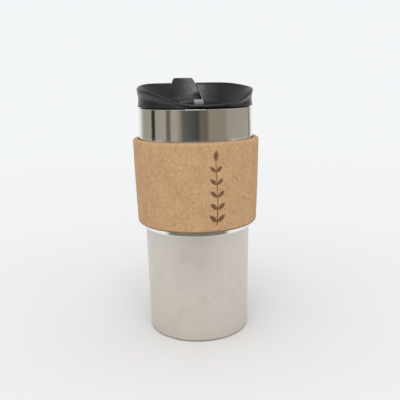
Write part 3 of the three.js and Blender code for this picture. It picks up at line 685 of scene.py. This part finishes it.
side_bottom = low.z + cork_edge
side_top = high.z - cork_edge
side_heights = [side_bottom + (side_top - side_bottom) * k / side_rings for k in range(1, side_rings)]
gap = 0.3
cork_section = [
    Vector((cork_outside(low.z) - cork_thickness + gap + 0.3, low.z)),
    *arc(cork_outside(side_bottom) - cork_edge, side_bottom, cork_edge, -90, 0, 8),
    *[Vector((cork_outside(z), z)) for z in side_heights],
    *arc(cork_outside(side_top) - cork_edge, side_top, cork_edge, 0, 90, 8),
    Vector((widest + gap + 0.3, high.z)),
    Vector((widest + gap, high.z - 0.4)),
    Vector((cork_outside(low.z) - cork_thickness + gap, low.z + 0.4)),
]
cork_band = turned("cork_band", cork_section)
pits = bpy.data.textures.new("cork_pits", "CLOUDS")
pits.noise_scale = 2.4 * MM
pits.noise_depth = 2
worn = cork_band.modifiers.new("worn", "DISPLACE")
worn.texture = pits
worn.strength = 0.16 * MM
worn.mid_level = 0.62
bpy.ops.object.modifier_apply(modifier=worn.name)
smooth(cork_band, 50)
fit_piece(cork_band, "sleeve", "cork", cork, "cork_sleeve")

# ---- Lid ----
# The moulded black shell: a waisted skirt, a rounded rim that is high at the drinking side and dips to
# the low side, and a deep bowl with the hinge mound, the drinking hole and the vent in its floor.
settings = {"Scale": 3500.0, "Worn": 0.5}
results = {"Height": "NodeSocketFloat", "Wear": "NodeSocketFloat"}
moulding, given, result = new_group("moulded_grain", settings, results)
spot = add_node(moulding, "TexCoord").outputs["Object"]
fine_look = {"Scale": given["Scale"], "Detail": 2.0}
fine = add_node(moulding, "TexNoise", {"Vector": spot, **fine_look}).outputs["Fac"]
broad_look = {"Scale": 90.0, "Detail": 5.0, "Roughness": 0.65}
broad = add_node(moulding, "TexNoise", {"Vector": spot, **broad_look}).outputs["Fac"]
moulding.links.new(fine, result["Height"])
worn_mask = faded(moulding, broad, 0.42, 0.72, curve="SMOOTHSTEP")
moulding.links.new(maths(moulding, "MULTIPLY", worn_mask, given["Worn"]), result["Wear"])

black_plastic, tree, shader = new_material("black_plastic")
grain = place_group(tree, moulding, Scale=3200.0, Worn=0.6)
marks = place_group(tree, handling, Scale=70.0, Cover=0.5)["Mask"]
base = mixed(tree, grain["Wear"], (0.012, 0.012, 0.0128, 1), (0.02, 0.02, 0.021, 1))
base = mixed(tree, maths(tree, "MULTIPLY", marks, 0.4), base, (0.028, 0.028, 0.029, 1))
# Painted highlight: the front of the lever's knuckle is painted pale grey.
pin_low, pin_high = size_of("hinge_pin")
hinge_y = (pin_low.y + pin_high.y) / 2
hinge_z = (pin_low.z + pin_high.z) / 2
spot = add_node(tree, "TexCoord").outputs["Object"]
hinge_axis = (0, hinge_y * MM, hinge_z * MM)
from_hinge = add_node(tree, "VectorMath", {0: spot, 1: hinge_axis}, operation="SUBTRACT").outputs[0]
part = add_node(tree, "SeparateXYZ", {0: from_hinge})
beside = maths(tree, "ABSOLUTE", part.outputs["X"])
across = add_node(tree, "CombineXYZ", {"Y": part.outputs["Y"], "Z": part.outputs["Z"]}).outputs[0]
across = add_node(tree, "VectorMath", {0: across}, operation="LENGTH").outputs["Value"]
near = faded(tree, across, 2.95 * MM, 2.5 * MM)
between = faded(tree, beside, 3.35 * MM, 3.2 * MM)
in_front = faded(tree, part.outputs["Y"], 1.0 * MM, 0.2 * MM)
painted_knuckle_highlight = maths(tree, "MULTIPLY", maths(tree, "MULTIPLY", near, between), in_front)
painted_knuckle_highlight = maths(tree, "MULTIPLY", painted_knuckle_highlight, maths(tree, "MULTIPLY_ADD", grain["Height"], 0.3, 0.65))
# painted highlight on the knuckle's front
base = mixed(tree, painted_knuckle_highlight, base, (0.33, 0.33, 0.33, 1))
tree.links.new(base, shader.inputs["Base Color"])
dull = maths(tree, "MULTIPLY_ADD", grain["Wear"], 0.1, 0.27)
dull = maths(tree, "MULTIPLY_ADD", marks, 0.08, dull)
tree.links.new(dull, shader.inputs["Roughness"])
relief = add_node(tree, "Bump", {"Height": grain["Height"], "Strength": 0.16, "Distance": 0.05 * MM})
tree.links.new(relief.outputs[0], shader.inputs["Normal"])

rim_top = size_of("lid_shell")[1].z
lid_foot = size_of("collar_shell")[1].z + 0.6
lid_foot_radius = widest - bulge + 0.44
lid_rim_radius = lid_foot_radius + 0.3
lid_waist = 0.6
lip = 1.0
rim_height = rim_top - lid_foot
low_side_height = 1.9
bowl_floor = lid_foot - 4.1
shoulder_radius = lid_rim_radius - 8.1
shoulder_height = lid_foot + 3.8
floor_wall = 2
roof = lid_foot - 0.4
hollow_top = roof + (rim_height - low_side_height) * 0.04
skirt_steps = 16


def skirt_radius(share):
    """Outside of the skirt from its foot, share 0, to its rim, share 1."""
    draw_in = lid_waist * math.sin(math.pi * min(share * 1.1, 1)) ** 1.5
    return lid_foot_radius - draw_in + (lid_rim_radius - lid_foot_radius) * share**2


skirt = [
    Vector((skirt_radius(k / skirt_steps), lid_foot + (rim_height - lip) * k / skirt_steps))
    for k in range(1, skirt_steps)
]
bowl_side = rounded(
    [
        (lid_rim_radius - 2 * lip, rim_top - lip),
        (shoulder_radius, shoulder_height, 3),
        (shoulder_radius - 4.3, bowl_floor, 2.2),
        (0, bowl_floor),
    ],
    10,
)
wall_steps = 12
wall_line = [bowl_side[0].lerp(bowl_side[1], k / wall_steps) for k in range(1, wall_steps)]
under_floor = bowl_floor - floor_wall
under_side = [
    Vector((0, under_floor)),
    Vector((shoulder_radius - 4.9, under_floor)),
    Vector((shoulder_radius - 2.9, bowl_floor - 0.7)),
    Vector((shoulder_radius - 0.3, roof - 1)),
    Vector((shoulder_radius + 2.2, hollow_top * 0.1 + roof * 0.9)),
    Vector((lid_foot_radius - 3.1, hollow_top)),
    Vector((lid_foot_radius - 2.1, hollow_top)),
    Vector((lid_foot_radius - 1.7, lid_foot)),
]
lid_section = [
    *arc(lid_foot_radius - 0.2, lid_foot + 0.2, 0.2, -90, 0, 4),
    *skirt,
    *arc(lid_rim_radius - lip, rim_top - lip, lip, 0, 180, 14),
    *wall_line,
    *bowl_side[1:],
    *under_side,
]
lid = turned("lid", lid_section)


def rim_drop(x, y):
    """How far the rim lies below its highest level: it falls to the low side in two waves."""
    degrees = abs(math.degrees(math.atan2(x, -y)))
    narrow = math.exp(-((degrees / 49) ** 3))
    wide = math.exp(-((degrees / 112) ** 6))
    return (rim_height - low_side_height) * (0.7 * narrow + 0.3 * wide)


for vertex in lid.data.vertices:
    x, y, z = vertex.co / MM
    share = min(max((z - lid_foot) / (rim_height - lip), 0), 1)
    vertex.co.z -= rim_drop(x, y) * share * MM

# The channel in the bowl's wall that the lever's face lies in.
LEVER_GAP = 0.3
LEVER_THICKNESS = 2
ARM_HALF_WIDTH = 11.5  # where arm and face meet
FACE_HALF_WIDTH = 9.3  # at the lid's rim
TAB_HALF_WIDTH = 7.1
ARM_TOP = lid_foot + 3.4
tab_top = size_of("flip_lever")[1].z
neck_height = rim_top - 0.7
wall_run = (lid_rim_radius - 2 * lip - shoulder_radius) / (rim_top - lip - shoulder_height)
wall_lean = math.hypot(1, wall_run)


def wall_radius(z):
    """The bowl's wall at the drinking side, which the lever's face continues."""
    return shoulder_radius + wall_run * (z - shoulder_height)


def extruded(name, points, move, steps=1):
    """Fills an outline and extrudes it in equal steps, in millimetres."""
    piece = draw_outline(name, points)
    bpy.ops.mesh.edge_face_add()
    for _ in range(steps):
        bpy.ops.mesh.extrude_region_move(TRANSFORM_OT_translate={"value": Vector(move) * MM / steps})
    bpy.ops.mesh.select_all(action="SELECT")
    bpy.ops.mesh.normals_make_consistent(inside=False)
    bpy.ops.object.mode_set(mode="OBJECT")
    return piece


def rod(name, radius, start, end, sides=64):
    """A round rod from start to end, in millimetres."""
    start, end = Vector(start), Vector(end)
    bpy.ops.object.select_all(action="DESELECT")
    bpy.ops.mesh.primitive_cylinder_add(
        vertices=sides,
        radius=radius * MM,
        depth=(end - start).length * MM,
        location=(start + end) / 2 * MM,
        rotation=(end - start).to_track_quat("Z", "Y").to_euler(),
    )
    bpy.ops.object.transform_apply(location=True, rotation=True, scale=True)
    piece = bpy.context.object
    piece.name = name
    return piece


def round_edges(piece, width, segments=3, angle=40):
    """Rounds the edges that are sharper than the angle."""
    bpy.ops.object.select_all(action="DESELECT")
    piece.select_set(True)
    bpy.context.view_layer.objects.active = piece
    bevel = piece.modifiers.new("round_edges", "BEVEL")
    bevel.width = width * MM
    bevel.segments = segments
    bevel.limit_method = "ANGLE"
    bevel.angle_limit = math.radians(angle)
    bpy.ops.object.modifier_apply(modifier=bevel.name)


channel_bottom = ARM_TOP - LEVER_THICKNESS - LEVER_GAP
channel_reach = 12  # it starts inside the bowl
channel_side = [
    (ARM_HALF_WIDTH + LEVER_GAP, channel_bottom),
    (ARM_HALF_WIDTH + LEVER_GAP, ARM_TOP + 0.4),
    (FACE_HALF_WIDTH + LEVER_GAP, neck_height),
    (FACE_HALF_WIDTH + LEVER_GAP, tab_top + 4),
]
channel_outline = [(x, 0, z) for x, z in channel_side] + [(-x, 0, z) for x, z in reversed(channel_side)]
channel_depth = channel_reach + (LEVER_THICKNESS + LEVER_GAP) * wall_lean + 0.4
channel = extruded("channel", channel_outline, (0, channel_depth, 0))
for vertex in channel.data.vertices:
    vertex.co.y += (wall_radius(vertex.co.z / MM) - channel_reach) * MM
carve(lid, channel)

# The hinge mound: a low crowned block across the bowl, slotted for the lever's knuckle.
KNUCKLE_RADIUS = 2.5
KNUCKLE_HALF_WIDTH = 3.3
PIN_BORE = 1.3
MOUND_HALF_WIDTH = 13
mound_top = hinge_z + KNUCKLE_RADIUS - 0.1
mound_back = 3.8  # behind the hinge's axis
mound_front = 2.2  # before it, so that the knuckle stands proud
mound_drop = 0.7
mound_outline = [
    (hinge_y - mound_front - 0.8, bowl_floor - 0.6),
    (hinge_y + mound_back, bowl_floor - 0.6),
    (hinge_y + mound_back - 0.5, hinge_z - 1),
    (hinge_y + 1.6, mound_top, 1.4),
    (hinge_y - 1.1, mound_top, 1.2),
    (hinge_y - mound_front, hinge_z + 0.4),
]
mound_points = [(-MOUND_HALF_WIDTH, y, z) for y, z in rounded(mound_outline)]
mound = extruded("mound", mound_points, (2 * MOUND_HALF_WIDTH, 0, 0), 24)
for vertex in mound.data.vertices:
    if vertex.co.z > (hinge_z - 1.5) * MM:
        away = max(abs(vertex.co.x / MM) - KNUCKLE_HALF_WIDTH, 0) / (MOUND_HALF_WIDTH - KNUCKLE_HALF_WIDTH)
        vertex.co.z -= mound_drop * away**1.6 * MM
round_edges(mound, 0.5, 3, 60)
carve(lid, mound, "UNION")
slot_half = KNUCKLE_HALF_WIDTH + 0.3
slot_bottom = hinge_z - KNUCKLE_RADIUS - 0.3
slot_outline = [
    (-slot_half, hinge_y - 8, slot_bottom),
    (-slot_half, hinge_y + 8, slot_bottom),
    (-slot_half, hinge_y + 8, hinge_z + 6),
    (-slot_half, hinge_y - 8, hinge_z + 6),
]
carve(lid, extruded("slot", slot_outline, (2 * slot_half, 0, 0)))
bore_end = pin_high.x + 0.3
carve(lid, rod("bore", PIN_BORE, (-bore_end, hinge_y, hinge_z), (bore_end, hinge_y, hinge_z), 32))
stopper_low, stopper_high = size_of("spout_stopper")
spout_y = (stopper_low.y + stopper_high.y) / 2
SPOUT_RADIUS = 5
VENT_RADIUS = 1.1
bowl_edge = shoulder_radius - 3.1
vent_y = 6.4 - bowl_edge
below_floor = bowl_floor - 6
above_floor = bowl_floor + 0.6
carve(lid, rod("spout", SPOUT_RADIUS, (0, spout_y, below_floor), (0, spout_y, above_floor), 96))
carve(lid, rod("vent", VENT_RADIUS, (0, vent_y, below_floor), (0, vent_y, above_floor), 40))
smooth(lid, 32)
fit_piece(lid, "lid", "black_plastic", black_plastic, "lid_shell")

# ---- Plug ----
# The moulded ring under the bowl, with a flange that closes the shell from below and the bead of the
# screw thread round its foot.
low, high = size_of("lid_plug")
seal_low, seal_high = size_of("lid_seal")
plug_radius = mouth - 1.6
plug_inside = plug_radius - 2.1
flange = 0.9
plug_section = [
    (plug_inside, low.z, 0.7),
    (plug_radius, low.z, 0.7),
    (plug_radius, high.z - flange, 0.15),
    (mouth - 0.3, high.z - flange, 0.15),
    (mouth - 0.3, high.z, 0.15),
    (plug_inside, high.z, 0.15),
]
plug = turned("plug", rounded(plug_section, 5))
thread_gap = 0.4
lid_thread_radius = mouth - 0.35 - THREAD_BEAD
apart = mouth - thread_room + THREAD_BEAD - lid_thread_radius
thread_drop = math.sqrt((2 * THREAD_BEAD + thread_gap) ** 2 - apart**2)
carve(plug, thread("plug_thread", lid_thread_radius, thread_start - thread_drop), "UNION")
smooth(plug, 40)
fit_piece(plug, "lid", "black_plastic", black_plastic, "lid_plug")

# ---- Seal ----
# A silicone ring with two soft lips, stretched over the plug between its flange and its thread.
black_silicone, tree, shader = new_material("black_silicone")
grain = place_group(tree, moulding, Scale=2400.0, Worn=0.8)
base = mixed(tree, grain["Wear"], (0.016, 0.016, 0.017, 1), (0.03, 0.03, 0.03, 1))
tree.links.new(base, shader.inputs["Base Color"])
tree.links.new(maths(tree, "MULTIPLY_ADD", grain["Wear"], 0.15, 0.6), shader.inputs["Roughness"])
relief = add_node(tree, "Bump", {"Height": grain["Height"], "Strength": 0.25, "Distance": 0.06 * MM})
tree.links.new(relief.outputs[0], shader.inputs["Normal"])

seal_outside = mouth - 0.3
seal_root = seal_outside - 0.5
seal_section = [
    (plug_radius + 0.3, seal_low.z, 0.2),
    (seal_root, seal_low.z, 0.15),
    (seal_outside, seal_low.z + 0.5, 0.15),
    (seal_root, seal_low.z + 1.3, 0.2),
    (seal_root, seal_high.z - 1.2, 0.2),
    (seal_outside, seal_high.z - 0.6, 0.15),
    (seal_root, seal_high.z, 0.15),
    (plug_radius + 0.3, seal_high.z, 0.2),
]
seal = turned("seal", rounded(seal_section, 4))
fit_piece(seal, "seal_ring", "black_silicone", black_silicone, "lid_seal")

# ---- Lever ----
# One moulding: a knuckle on the hinge, a crowned arm across the bowl, a face that is hollow across as
# the bowl's wall is, and the tab above the rim that the thumb flips. A post carries the stopper.
arm_root = hinge_y + mound_back + 0.6
arm_foot = wall_radius(ARM_TOP)
ARM_ROOT_HALF_WIDTH = 12.8
CROWN = 0.8
LEVER_STRIPS = 18
corner = 0.9
face_foot = ARM_TOP + 0.4


def lever_half_width(y, z):
    """Half width of the lever along its length, with rounded corners at its root and its tab."""
    if z < face_foot:
        share = (y - arm_root) / (arm_foot - arm_root)
        half = ARM_ROOT_HALF_WIDTH + (ARM_HALF_WIDTH - ARM_ROOT_HALF_WIDTH) * share
        from_end = y - arm_root
    elif z < neck_height:
        share = (z - face_foot) / (neck_height - face_foot)
        half = ARM_HALF_WIDTH + (FACE_HALF_WIDTH - ARM_HALF_WIDTH) * share
        from_end = corner
    else:
        share = (z - neck_height) / (tab_top - neck_height)
        half = FACE_HALF_WIDTH + (TAB_HALF_WIDTH - FACE_HALF_WIDTH) * share
        from_end = tab_top - z
    left = corner - min(from_end, corner)
    return half - corner + math.sqrt(max(corner**2 - left**2, 0))


ends = [0, 0.06, 0.2, 0.45, 0.9]  # stations close to the rounded corners
arm_line = [(arm_root + end, ARM_TOP) for end in ends]
arm_line += [(arm_root + (arm_foot - 3 - arm_root) * k / 8, ARM_TOP) for k in range(1, 9)]
bend = rounded([(arm_root, ARM_TOP), (arm_foot, ARM_TOP, 1.6), (wall_radius(tab_top), tab_top)], 8)[1:-1]
face_heights = [ARM_TOP + 2 + (neck_height - ARM_TOP - 2) * k / 8 for k in range(9)]
face_heights += [neck_height + (tab_top - corner - neck_height) * k / 3 for k in range(1, 3)]
face_heights += [tab_top - end for end in reversed(ends)]
lever_line = [*arm_line, *bend, *[(wall_radius(z), z) for z in face_heights]]
lever = draw_outline("lever", [(-1 / MM, y, z) for y, z in lever_line], closed=False)
for _ in range(LEVER_STRIPS):
    bpy.ops.mesh.extrude_region_move(TRANSFORM_OT_translate={"value": (2 / LEVER_STRIPS, 0, 0)})
bpy.ops.mesh.select_all(action="SELECT")
bpy.ops.mesh.normals_make_consistent(inside=False)
bpy.ops.object.mode_set(mode="OBJECT")
for vertex in lever.data.vertices:
    across, y, z = vertex.co.x, vertex.co.y / MM, vertex.co.z / MM
    on_arm = min(max((arm_foot - y) / 7, 0), 1) if z < face_foot else 0
    on_face = min(max((z - ARM_TOP - 1) / 4, 0), 1)
    vertex.co.x = across * lever_half_width(y, z) * MM
    vertex.co.z += CROWN * (1 - across**2) * on_arm * MM
    vertex.co.y -= (vertex.co.x / MM) ** 2 / (2 * wall_radius(z)) * on_face * MM
smooth(lever, 30)
if lever.data.polygons[0].normal.z < 0:
    bpy.ops.object.mode_set(mode="EDIT")
    bpy.ops.mesh.flip_normals()
    bpy.ops.object.mode_set(mode="OBJECT")
wall = lever.modifiers.new("wall", "SOLIDIFY")
wall.thickness = LEVER_THICKNESS * MM
wall.offset = -1
bpy.ops.object.modifier_apply(modifier=wall.name)
round_edges(lever, 0.35, 3, 50)
knuckle = rod(
    "knuckle",
    KNUCKLE_RADIUS,
    (-KNUCKLE_HALF_WIDTH, hinge_y, hinge_z),
    (KNUCKLE_HALF_WIDTH, hinge_y, hinge_z),
)
round_edges(knuckle, 0.4, 3, 60)
neck_outline = [
    (-KNUCKLE_HALF_WIDTH, hinge_y, ARM_TOP - LEVER_THICKNESS - 0.4),
    (-KNUCKLE_HALF_WIDTH, arm_root + 1.5, ARM_TOP - LEVER_THICKNESS + 0.3),
    (-KNUCKLE_HALF_WIDTH, arm_root + 1.5, ARM_TOP + CROWN - 0.15),
    (-KNUCKLE_HALF_WIDTH, hinge_y, hinge_z + KNUCKLE_RADIUS - 0.02),
]
neck = extruded("neck", neck_outline, (2 * KNUCKLE_HALF_WIDTH, 0, 0))
carve(lever, neck, "UNION")
carve(lever, knuckle, "UNION")
POST_RADIUS = 2.6
post_foot = stopper_high.z - 3.5
carve(lever, rod("post", POST_RADIUS, (0, spout_y, post_foot), (0, spout_y, ARM_TOP - 0.6)), "UNION")
bore_end = KNUCKLE_HALF_WIDTH + 1
carve(lever, rod("bore", PIN_BORE, (-bore_end, hinge_y, hinge_z), (bore_end, hinge_y, hinge_z), 32))
smooth(lever, 32)
fit_piece(lever, "lever", "black_plastic", black_plastic, "flip_lever")

# ---- Stopper ----
# The soft silicone plug on the lever's post that closes the drinking hole.
stopper_radius = SPOUT_RADIUS - 0.6
seat = bowl_floor + 0.3
stopper_section = [
    (0, bowl_floor - 1.6),
    (stopper_radius - 0.9, bowl_floor - 1.6, 0.5),
    (stopper_radius, seat, 0.2),
    (SPOUT_RADIUS + 1.2, seat, 0.25),
    (SPOUT_RADIUS + 1.2, seat + 0.9, 0.3),
    (stopper_radius + 0.3, seat + 1.5, 0.4),
    (stopper_radius, stopper_high.z, 0.4),
    (POST_RADIUS + 0.3, stopper_high.z, 0.2),
    (POST_RADIUS + 0.3, post_foot - 0.3),
    (0, post_foot - 0.3),
]
stopper = turned("stopper", rounded(stopper_section, 5), y=spout_y, closed=False)
fit_piece(stopper, "lever", "black_silicone", black_silicone, "spout_stopper")

# ---- Hinge pin ----
# A polished steel pin pressed through the mound, on which the lever's knuckle turns.
pin = rod("pin", pin_high.y - hinge_y, (pin_low.x, hinge_y, hinge_z), (pin_high.x, hinge_y, hinge_z), 48)
round_edges(pin, 0.25, 3, 60)
smooth(pin, 40)
fit_piece(pin, "lid", "polished_steel", polished_steel, "hinge_pin")
